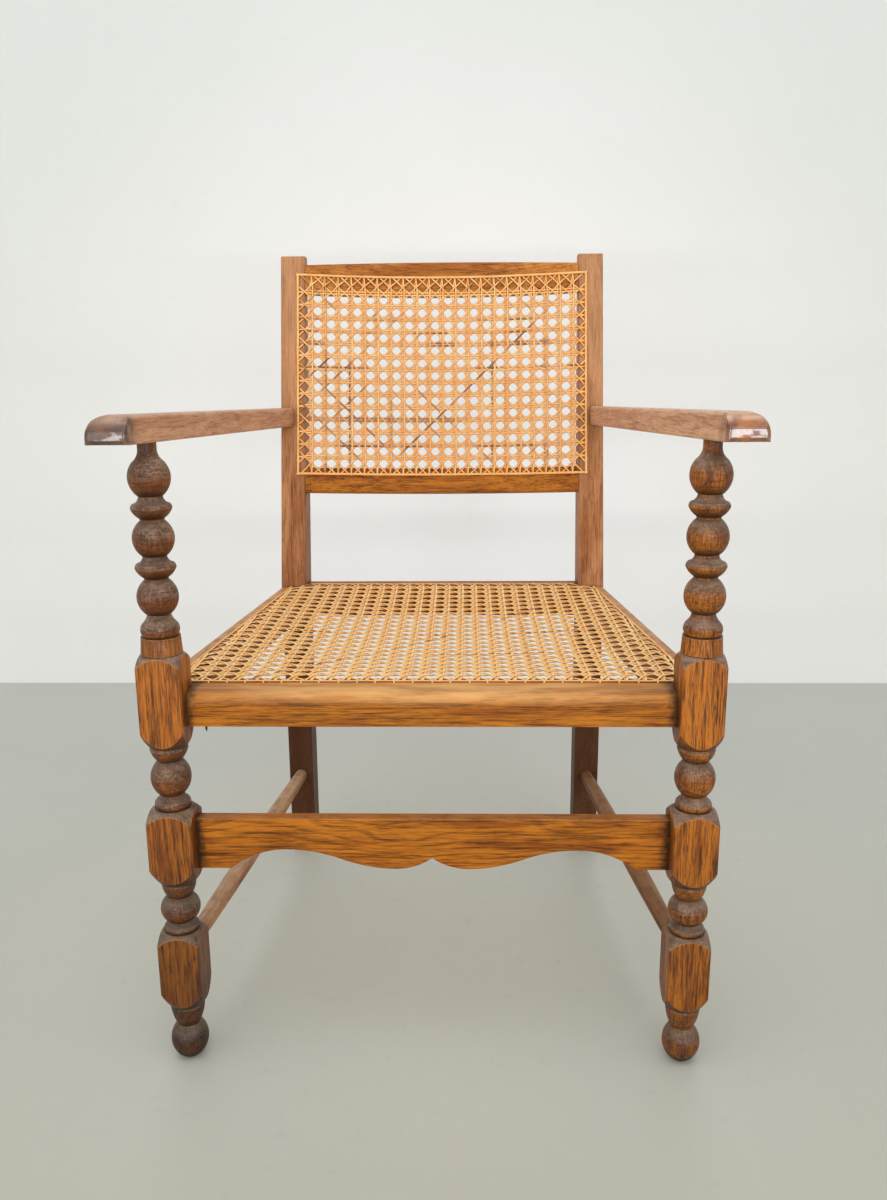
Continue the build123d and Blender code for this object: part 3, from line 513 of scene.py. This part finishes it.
rake = math.radians(13.2)  # the stiles lean back
splay = math.radians(6.3)  # the sides close in towards the back
alongX = (0, math.pi / 2, 0)
alongY = (math.pi / 2, 0, 0)
alongZ = (0, 0, 0)
leftSide = (math.pi / 2, -splay, 0)
rightSide = (math.pi / 2, splay, 0)
raked = (rake, 0, 0)
wood = {
    "front_post_left": ("turned", alongZ, (0.1, 0.2, 0.0), postLooks(lowShade=0.3, gold=0.4, lathe=0.75)),
    "front_post_right": ("turned", alongZ, (0.7, 0.5, 0.3), postLooks(lowShade=0.66, gold=0.75, lathe=0.5)),
    "rear_stile_left": ("stile", raked, (0.3, 0.0, 0.1), stileLooks(lowShade=0.3)),
    "rear_stile_right": ("stile", raked, (0.9, 0.4, 0.2), stileLooks(lowShade=0.05)),
    "front_seat_rail": ("rail", alongX, (0.2, 0.1, 0.5), frontRailLooks),
    "rear_seat_rail": ("rail", alongX, (0.4, 0.9, 0.3), None),
    "side_seat_rail_left": ("sideRail", leftSide, (0.6, 0.3, 0.8), None),
    "side_seat_rail_right": ("sideRail", rightSide, (0.8, 0.7, 0.1), None),
    "crest_rail": ("crest", alongX, (0.15, 0.65, 0.4), None),
    "back_lower_rail": ("rail", alongX, (0.35, 0.25, 0.9), None),
    "arm_left": ("arm", leftSide, (0.55, 0.85, 0.2), armLooks(deep=tone(52, 32, 24), bright=tone(100, 62, 42))),
    "arm_right": ("paleArm", rightSide, (0.75, 0.05, 0.6), armLooks(deep=tone(92, 48, 18), bright=tone(166, 94, 34))),
    "front_stretcher": ("stretcher", alongX, (0.05, 0.3, 0.7), stretcherLooks),
    "side_stretcher_left": ("rod", leftSide, (0.05, 0.55, 0.3), None),
    "side_stretcher_right": ("darkRod", rightSide, (0.25, 0.15, 0.5), None),
    "arm_dowels": ("hidden", alongY, (0.45, 0.35, 0.4), None),
    "seat_cane_pegs": ("hidden", alongZ, (0.65, 0.75, 0.6), None),
    "back_cane_pegs": ("hidden", alongY, (0.85, 0.95, 0.8), None),
}
for name, (finish, turn, shift, extra) in wood.items():
    mesh = nodes[name].data
    mesh.materials.clear()
    mesh.materials.append(oakMaterial(name + "Oak", finishes[finish], turn, shift, extra))
print("oak finishes on", len(wood), "pieces")

# Cane: a strand's tone runs from 0 for new to 1 for old, and loose tails are darker still; each strand's rims carry
# painted shade

caneLooks = {
    "pale": tone(255, 206, 134), "body": tone(246, 168, 86), "rim": tone(112, 50, 14), "old": tone(106, 52, 28),
    "roughness": 0.42, "roughSpread": 0.1, "coat": 0.1, "coatRoughness": 0.3, "specular": 0.35,
    "bump": 0.2, "bumpDepth": 0.0003,
}
# the seat's cane is a paler copy, painted light from above
seatLitLooks = dict(caneLooks, pale=tone(255, 228, 164), body=tone(255, 200, 122), rim=tone(206, 130, 62))
binderLooks = dict(caneLooks, pale=tone(248, 192, 120), body=tone(234, 164, 90), rim=tone(230, 166, 96),
                   old=tone(58, 32, 20))
barkShape = {
    "patchNoise": (60.0, 3.0, 0.6), "patchBand": (0.3, 0.7), "stainNoise": (13.0, 3.0, 0.6),
    "stainBand": (0.44, 0.6, 0.1, 0.9), "fibreNoise": (900.0, 2.0, 0.6), "fibreBand": (0.58, 0.75, 0.0, 0.3),
    "bodyTones": (0.0, 0.5, 0.0, 0.45), "oldTones": (0.5, 0.95), "tailTones": (1.2, 1.8), "tailTone": 2.0,
    "rimBand": (0.55, 0.92, 0.0, 0.9),
}


def makeCaneBark(name, given, shape):
    material, tree, shader = newMaterial(name, given["roughness"], given["coat"], given["coatRoughness"],
                                         given["specular"])
    place = addNode(tree, "ShaderNodeTexCoord").outputs["Object"]
    strand = addNode(tree, "ShaderNodeAttribute", attribute_name="strandTone").outputs["Fac"]
    across = addNode(tree, "ShaderNodeAttribute", attribute_name="across").outputs["Fac"]
    patch = noise(tree, place, *shape["patchNoise"])
    stain = noise(tree, place, *shape["stainNoise"])
    fibre = noise(tree, place, *shape["fibreNoise"])
    aged = calc(tree, "MULTIPLY", ramp(tree, strand, *shape["oldTones"]), ramp(tree, stain, *shape["stainBand"]))
    colour = mixColour(tree, ramp(tree, patch, *shape["patchBand"]), given["body"], given["pale"])
    colour = mixColour(tree, ramp(tree, strand, *shape["bodyTones"]), colour, given["body"])
    colour = mixColour(tree, aged, colour, given["old"])
    # painted shade along the rims of each strand
    colour = mixColour(tree, ramp(tree, across, *shape["rimBand"]), colour, given["rim"])
    colour = mixColour(tree, ramp(tree, fibre, *shape["fibreBand"]), colour, given["rim"])
    colour = mixColour(tree, ramp(tree, strand, *shape["tailTones"]), colour, given["old"])
    tree.links.new(colour, shader.inputs["Base Color"])
    smooth, rough = given["roughness"], given["roughness"] + given["roughSpread"]
    tree.links.new(ramp(tree, patch, *shape["patchBand"], rough, smooth), shader.inputs["Roughness"])
    bump = addNode(tree, "ShaderNodeBump", {"Strength": given["bump"], "Distance": given["bumpDepth"], "Height": fibre})
    tree.links.new(bump.outputs[0], shader.inputs["Normal"])
    return material


backBark = makeCaneBark("backBark", caneLooks, barkShape)
# painted light: the seat's strands are paler as if lit from above
seatLitBark = makeCaneBark("seatLitBark", seatLitLooks, barkShape)
binderBark = makeCaneBark("binderBark", binderLooks, barkShape)

# Weave: guide lines in the plane of a panel become strands that pass over and under, sag or bow, and stray a little

weaveShape = {"profileSides": 8, "profileFloor": -0.75, "strayScale": 45.0, "strayDetail": 1.0}


def barkProfile(tree, width, thick, shape):  # flat underside, domed top; across is 0 in the middle and 1 at the rims
    ring = addNode(tree, "GeometryNodeCurvePrimitiveCircle", {"Resolution": shape["profileSides"], "Radius": 1.0})
    parts = splitVector(tree, addNode(tree, "GeometryNodeInputPosition").outputs[0])
    rim = calc(tree, "ABSOLUTE", parts["X"])
    marked = addNode(tree, "GeometryNodeStoreNamedAttribute", {"Geometry": ring.outputs[0], "Name": "across",
                                                               "Value": rim}, data_type="FLOAT", domain="POINT")
    x = calc(tree, "MULTIPLY", parts["X"], calc(tree, "MULTIPLY", width, 0.5))
    y = calc(tree, "MAXIMUM", parts["Y"], shape["profileFloor"])
    y = calc(tree, "MULTIPLY", y, calc(tree, "MULTIPLY", thick, 0.5))
    spot = addNode(tree, "ShaderNodeCombineXYZ", {0: x, 1: y}).outputs[0]
    return addNode(tree, "GeometryNodeSetPosition", {"Geometry": marked.outputs[0], "Position": spot}).outputs[0]


def strandValue(tree, name):
    return addNode(tree, "GeometryNodeInputNamedAttribute", {"Name": name}, data_type="FLOAT").outputs[0]


def hollowed(tree, value):  # 1 in the middle, 0 at the edges and past them
    return calc(tree, "MAXIMUM", calc(tree, "SUBTRACT", 1.0, calc(tree, "MULTIPLY", value, value)), 0.0)


def makeWeaveTree(shape):
    tree, given, out, sockets = newGroup("caneWeave", "GeometryNodeTree", [
        ("Geometry", "Geometry"),
        ("Pitch X", "Float"), ("Pitch Y", "Float"), ("Start X", "Float"), ("Start Y", "Float"),
        ("Strand Width", "Float"), ("Strand Thickness", "Float"), ("Lift", "Float"), ("Step", "Float"),
        ("Bow", "Float"), ("Sag", "Float"), ("Half Width", "Float"), ("Taper", "Float"),
        ("Middle Y", "Float"), ("Half Depth", "Float"), ("Wobble", "Float"), ("Seed", "Float"),
        ("Turn", "Rotation"), ("Place", "Vector"), ("Bark", "Material"),
    ], [("Geometry", "Geometry")])
    strands = addNode(tree, "GeometryNodeMeshToCurve", {0: given["Geometry"]})
    strands = addNode(tree, "GeometryNodeResampleCurve", {"Curve": strands.outputs[0], "Length": given["Step"]},
                      mode="LENGTH")
    spot = addNode(tree, "GeometryNodeInputPosition").outputs[0]
    parts = splitVector(tree, spot)
    x, y = parts["X"], parts["Y"]
    column = calc(tree, "DIVIDE", calc(tree, "SUBTRACT", x, given["Start X"]), given["Pitch X"])
    row = calc(tree, "DIVIDE", calc(tree, "SUBTRACT", y, given["Start Y"]), given["Pitch Y"])
    swing = calc(tree, "COSINE", calc(tree, "MULTIPLY", column, 2 * math.pi))
    hop = calc(tree, "MULTIPLY_ADD", calc(tree, "COSINE", calc(tree, "MULTIPLY", row, 2 * math.pi)), 0.5, 0.5)
    swing = calc(tree, "MULTIPLY", swing, strandValue(tree, "overColumns"))
    hop = calc(tree, "MULTIPLY", hop, strandValue(tree, "overRows"))
    rise = calc(tree, "MULTIPLY", calc(tree, "ADD", swing, hop), given["Lift"])
    back = calc(tree, "SUBTRACT", y, given["Middle Y"])
    depth = calc(tree, "DIVIDE", back, given["Half Depth"])
    side = calc(tree, "DIVIDE", x, calc(tree, "MULTIPLY_ADD", back, given["Taper"], given["Half Width"]))
    fall = calc(tree, "MULTIPLY_ADD", given["Sag"], hollowed(tree, depth), given["Bow"])
    fall = calc(tree, "MULTIPLY", hollowed(tree, side), fall)
    stray = addNode(tree, "ShaderNodeTexNoise", {"Vector": spot, "W": given["Seed"], "Scale": shape["strayScale"],
                                                 "Detail": shape["strayDetail"]}, noise_dimensions="4D")
    stray = addNode(tree, "ShaderNodeVectorMath", {0: stray.outputs["Color"], 1: (0.5, 0.5, 0.5)},
                    operation="SUBTRACT").outputs[0]
    stray = addNode(tree, "ShaderNodeVectorMath", {0: stray, "Scale": given["Wobble"]}, operation="SCALE").outputs[0]
    shift = addNode(tree, "ShaderNodeCombineXYZ", {2: calc(tree, "SUBTRACT", rise, fall)}).outputs[0]
    shift = addNode(tree, "ShaderNodeVectorMath", {0: shift, 1: stray}, operation="ADD").outputs[0]
    strands = addNode(tree, "GeometryNodeSetPosition", {"Geometry": strands.outputs[0], "Offset": shift})
    strands = addNode(tree, "GeometryNodeSetCurveNormal", {"Curve": strands.outputs[0]}, mode="Z_UP")
    profile = barkProfile(tree, given["Strand Width"], given["Strand Thickness"], shape)
    skin = addNode(tree, "GeometryNodeCurveToMesh", {"Curve": strands.outputs[0], "Profile Curve": profile,
                                                     "Fill Caps": True})
    placed = addNode(tree, "GeometryNodeTransform", {"Geometry": skin.outputs[0], "Translation": given["Place"],
                                                     "Rotation": given["Turn"]})
    whole = addNode(tree, "GeometryNodeRealizeInstances", {0: placed.outputs[0]})
    barked = addNode(tree, "GeometryNodeSetMaterial", {"Geometry": whole.outputs[0], "Material": given["Bark"]})
    tree.links.new(barked.outputs[0], out["Geometry"])
    return tree, sockets


weaveTree, weaveSockets = makeWeaveTree(weaveShape)


def guideObject(name, lines):  # one chain of edges for each strand, with its own weave and tone
    points, edges, overColumns, overRows, tones = [], [], [], [], []
    for line, columns, rows, shade in lines:
        first = len(points)
        points += line
        edges += [(first + i, first + i + 1) for i in range(len(line) - 1)]
        overColumns += [columns] * len(line)
        overRows += [rows] * len(line)
        tones += [shade] * len(line)
    mesh = bpy.data.meshes.new(name)
    mesh.from_pydata(points, edges, [])
    for label, values in (("overColumns", overColumns), ("overRows", overRows), ("strandTone", tones)):
        mesh.attributes.new(label, "FLOAT", "POINT").data.foreach_set("value", values)
    guide = bpy.data.objects.new(name, mesh)
    scene.collection.objects.link(guide)
    return guide


def growStrands(name, lines, values):
    guide = guideObject(name + "Guide", lines)
    modifier = guide.modifiers.new("grow", "NODES")
    modifier.node_group = weaveTree
    for label, value in values.items():
        modifier[weaveSockets[label]] = value
    bpy.context.view_layer.update()
    grown = guide.evaluated_get(bpy.context.evaluated_depsgraph_get())
    mesh = bpy.data.meshes.new_from_object(grown)
    mesh.name = name
    mesh.shade_smooth()
    bpy.data.objects.remove(guide)
    piece = bpy.data.objects.new(name, mesh)
    scene.collection.objects.link(piece)
    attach(piece, "root")
    print(name, len(lines), "strands,", sum(len(face.vertices) - 2 for face in mesh.polygons), "triangles")
    return piece


# Guide lines of a panel; lead and shortest are in pitches

lineRules = {"steps": 400, "slantedSteps": 900, "fewestSteps": 3, "lead": 0.8, "shortest": 1.2}


def clipped(start, end, inside, steps):  # the stretch of a straight line that is inside the hole lines
    spots = [Vector(start).lerp(Vector(end), i / steps) for i in range(steps + 1)]
    kept = [spot for spot in spots if inside(spot.x, spot.y)]
    return (kept[0], kept[-1]) if len(kept) > lineRules["fewestSteps"] else None


def strandLines(panel, inside, rng):
    pitchX, pitchY = panel["pitch"]
    startX, startY = panel["start"]
    apart, columns, rows, reach = panel["pairApart"], panel["columns"], panel["rows"], panel["reach"]
    upright, level, slanted = [], [], []

    def shade():  # a few strands are old
        return 0.5 + 0.5 * rng.random() if rng.random() < panel["oldShare"] else rng.random() * 0.5

    def pinched(low, high, aside):  # a pair closes up and dives into its holes at both ends
        run = (high - low).normalized()
        lead = run * min(lineRules["lead"] * pitchX, (high - low).length / 3)
        return [(*low, panel["dive"]), (*(low + lead + aside), 0.0), (*(high - lead + aside), 0.0),
                (*high, panel["dive"])]

    for i in columns:
        x = startX + i * pitchX
        ends = clipped((x, startY - reach), (x, startY + reach + rows[-1] * pitchY), inside, lineRules["steps"])
        for side in (-1, 1) if ends else ():
            upright.append((pinched(*ends, Vector((side * apart, 0))), 0.0, float(side), shade()))
    for j in rows:
        y = startY + j * pitchY
        ends = clipped((-reach, y), (reach, y), inside, lineRules["steps"])
        for side in (-1, 1) if ends else ():
            level.append((pinched(*ends, Vector((0, side * apart))), 0.0, 0.0, shade()))
    span = len(columns) + len(rows)
    cells = reach / pitchY
    for k in range(-span, span + 1):
        for slope in (1, -1):
            middleX = startX + (k + 0.5) * pitchX
            ends = clipped((middleX - slope * cells * pitchX, startY - cells * pitchY),
                           (middleX + slope * cells * pitchX, startY + cells * pitchY),
                           inside, lineRules["slantedSteps"])
            if ends and (ends[1] - ends[0]).length > lineRules["shortest"] * pitchX:
                slanted.append((pinched(*ends, Vector((0, 0))), float(slope), 0.0, shade()))
    return upright, level, slanted


edgeShape = {
    "overhang": 0.002, "stripTones": (0.1, 0.3), "loopStray": 0.0008, "loopTone": 0.5,
    "loopArch": ((-0.0021, -0.002), (-0.0018, 0.0), (0.0, 0.0007), (0.0018, 0.0), (0.0021, -0.002)),  # aside, up
    "strapAside": 0.0011, "strapLead": 0.002, "strapDip": 0.0012, "strapTone": 0.5,
}


def binderLines(corners, pitch, height, rng):  # a strip along each hole line, and a loop over it at each hole
    given = edgeShape
    stray = given["loopStray"]
    newTone, toneSpread = given["stripTones"]
    strips, loops = [], []
    for start, end in corners:
        start, end = Vector(start), Vector(end)
        run = (end - start).normalized()
        aside = Vector((-run.y, run.x))
        spots = (start - run * given["overhang"], start.lerp(end, 0.5), end + run * given["overhang"])
        strips.append(([(*spot, height) for spot in spots], 0.0, 0.0, newTone + toneSpread * rng.random()))
        count = round((end - start).length / pitch)
        for i in range(1, count):
            middle = start.lerp(end, i / count) + run * rng.uniform(-stray, stray)
            arch = [(*(middle + aside * across), height + rise) for across, rise in given["loopArch"]]
            loops.append((arch, 0.0, 0.0, given["loopTone"] * rng.random()))
    return strips, loops


def strapLines(start, end, pitch, height, rng):  # short straps from hole to hole on the hidden face of a rail
    given = edgeShape
    start, end = Vector(start), Vector(end)
    run = (end - start).normalized()
    lead, dip = run * given["strapLead"], given["strapDip"]
    count = round((end - start).length / pitch)
    straps = []
    for i in range(count):
        aside = Vector((-run.y, run.x)) * (given["strapAside"] if i % 2 else -given["strapAside"])
        low, high = start.lerp(end, i / count) + aside, start.lerp(end, (i + 1) / count) + aside
        spots = ((low, dip), (low + lead, 0.0), (high - lead, 0.0), (high, dip))
        straps.append(([(*spot, height + rise) for spot, rise in spots], 0.0, 0.0, given["strapTone"] * rng.random()))
    return straps


strandSize = {"Strand Width": 0.0029, "Strand Thickness": 0.0011, "Lift": 0.0009, "Step": 0.0034}
slantSize = dict(strandSize, **{"Strand Width": 0.0025})
seatStrand = dict(strandSize, **{"Strand Width": 0.0031})
seatSlant = dict(strandSize, **{"Strand Width": 0.0027})
stripSize = {"Strand Width": 0.0034, "Strand Thickness": 0.0012, "Lift": 0.0, "Step": 0.008}
loopSize = {"Strand Width": 0.0018, "Strand Thickness": 0.0007, "Lift": 0.0, "Step": 0.0014, "Wobble": 0.0}
strapSize = {"Strand Width": 0.0022, "Strand Thickness": 0.0009, "Lift": 0.0, "Step": 0.004, "Wobble": 0.0}


def panelShape(panel, others):  # inputs of the weave that both panels share, and a panel's others
    shared = {"Pitch X": panel["pitch"][0], "Pitch Y": panel["pitch"][1], "Start X": panel["start"][0],
              "Start Y": panel["start"][1], "Wobble": panel["wobble"], "Seed": panel["straySeed"]}
    return dict(shared, **others)


# Seat panel: hole lines in the plane of the seat, narrower towards the back

seatPanel = {
    "pitch": (0.0186, 0.01935), "start": (0.0093, -0.2155), "pairApart": 0.0021, "reach": 0.75,
    "columns": range(-14, 14), "rows": range(22), "oldShare": 0.03, "seed": 7, "straySeed": 3.0, "wobble": 0.0011,
    "front": -0.23817, "rear": 0.21363, "frontHalf": 0.2625, "rearHalf": 0.2155, "stileFront": 0.1936,
    "betweenStiles": 0.187, "height": 0.4066, "sag": 0.012, "sagHalf": 0.226, "sagTaper": -0.108, "sagDepth": 0.212,
    "dive": -0.0016, "binder": -0.0001, "under": -0.0352, "rearUnder": -0.0442,
    "tails": [[(-0.2195, -0.2715, -0.0335), (-0.2197, -0.2717, -0.0375), (-0.2204, -0.2721, -0.0412)],
              [(-0.2206, -0.2715, -0.0335), (-0.2208, -0.2717, -0.037), (-0.2212, -0.272, -0.0392)]],
}


def insideSeat(x, y):
    if not seatPanel["front"] <= y <= seatPanel["rear"]:
        return False
    if y > seatPanel["stileFront"]:
        return abs(x) <= seatPanel["betweenStiles"]
    share = (y - seatPanel["front"]) / (seatPanel["stileFront"] - seatPanel["front"])
    return abs(x) <= seatPanel["frontHalf"] + share * (seatPanel["rearHalf"] - seatPanel["frontHalf"])


def makeSeatCane(panel):
    rng = random.Random(panel["seed"])
    upright, level, slanted = strandLines(panel, insideSeat, rng)
    pitch, front, rear, stile = panel["pitch"][0], panel["front"], panel["rear"], panel["stileFront"]
    wide, narrow, inner = panel["frontHalf"], panel["rearHalf"], panel["betweenStiles"]
    shape = panelShape(panel, {
        "Bow": 0.0, "Sag": panel["sag"], "Half Width": panel["sagHalf"], "Taper": panel["sagTaper"],
        "Middle Y": (front + rear) / 2, "Half Depth": panel["sagDepth"], "Turn": (0.0, 0.0, 0.0),
        "Place": (0.0, 0.0, panel["height"]), "Bark": seatLitBark,
    })
    first = growStrands("seatCaneColumns", upright, dict(shape, **seatStrand))
    growStrands("seatCaneRows", level, dict(shape, **seatStrand))
    growStrands("seatCaneSlanted", slanted, dict(shape, **seatSlant))
    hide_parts("seat_cane")
    frontLine, rearLine = ((-wide, front), (wide, front)), ((-inner, rear), (inner, rear))
    sideLines = [((-wide, front), (-narrow, stile)), ((wide, front), (narrow, stile))]
    strips, loops = binderLines([frontLine, rearLine, *sideLines], pitch, panel["binder"], rng)
    flat = dict(shape, Sag=0.0, Bark=binderBark)
    binder = growStrands("seatBinder", strips, dict(flat, **stripSize))
    growStrands("seatBinderLoops", loops, dict(flat, **loopSize))
    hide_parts("seat_cane_binder")
    straps = []
    for line in (frontLine, *sideLines):
        straps += strapLines(*line, pitch, panel["under"], rng)
    straps += strapLines(*rearLine, pitch, panel["rearUnder"], rng)
    straps += [(tail, 0.0, 0.0, barkShape["tailTone"]) for tail in panel["tails"]]
    growStrands("seatStraps", straps, dict(flat, **strapSize))


makeSeatCane(seatPanel)

# Back panel: worked flat, bowed, then leaned back with the stiles

backPanel = {
    "pitch": (0.0186, 0.0181), "start": (0.0, 0.1865), "pairApart": 0.0018, "reach": 0.6,
    "columns": range(-10, 11), "rows": range(14), "oldShare": 0.3, "seed": 11, "straySeed": 5.0, "wobble": 0.001,
    "half": 0.205, "bottom": 0.1625, "top": 0.446, "bow": 0.018, "bowHalf": 0.1945, "foot": (0.0, 0.19763, 0.405),
    "stand": 0.0018, "dive": -0.0016, "binder": -0.0002, "behind": -0.0194, "railHalf": 0.186,
}


def insideBack(x, y):
    return abs(x) <= backPanel["half"] and backPanel["bottom"] <= y <= backPanel["top"]


def makeBackCane(panel):
    rng = random.Random(panel["seed"])
    upright, level, slanted = strandLines(panel, insideBack, rng)
    pitch, half, bottom, top, rail = panel["pitch"][0], panel["half"], panel["bottom"], panel["top"], panel["railHalf"]
    ahead = Vector((0, -math.cos(rake), math.sin(rake))) * panel["stand"]
    shape = panelShape(panel, {
        "Bow": panel["bow"], "Sag": 0.0, "Half Width": panel["bowHalf"], "Taper": 0.0,
        "Middle Y": (bottom + top) / 2, "Half Depth": (top - bottom) / 2, "Turn": (math.pi / 2 - rake, 0.0, 0.0),
        "Place": tuple(Vector(panel["foot"]) + ahead), "Bark": backBark,
    })
    first = growStrands("backCaneColumns", upright, dict(shape, **strandSize))
    growStrands("backCaneRows", level, dict(shape, **strandSize))
    growStrands("backCaneSlanted", slanted, dict(shape, **slantSize))
    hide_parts("back_cane")
    corners = [((-half, bottom), (half, bottom)), ((-half, top), (half, top)), ((-half, bottom), (-half, top)),
               ((half, bottom), (half, top))]
    strips, loops = binderLines(corners, pitch, panel["binder"], rng)
    edging = dict(shape, Bark=binderBark)
    binder = growStrands("backBinder", strips, dict(edging, **stripSize))
    growStrands("backBinderLoops", loops, dict(edging, **loopSize))
    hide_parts("back_cane_binder")
    straps = []
    for y in (bottom, top):
        straps += strapLines((-rail, y), (rail, y), pitch, panel["behind"], rng)
    growStrands("backStraps", straps, dict(edging, **strapSize))


makeBackCane(backPanel)
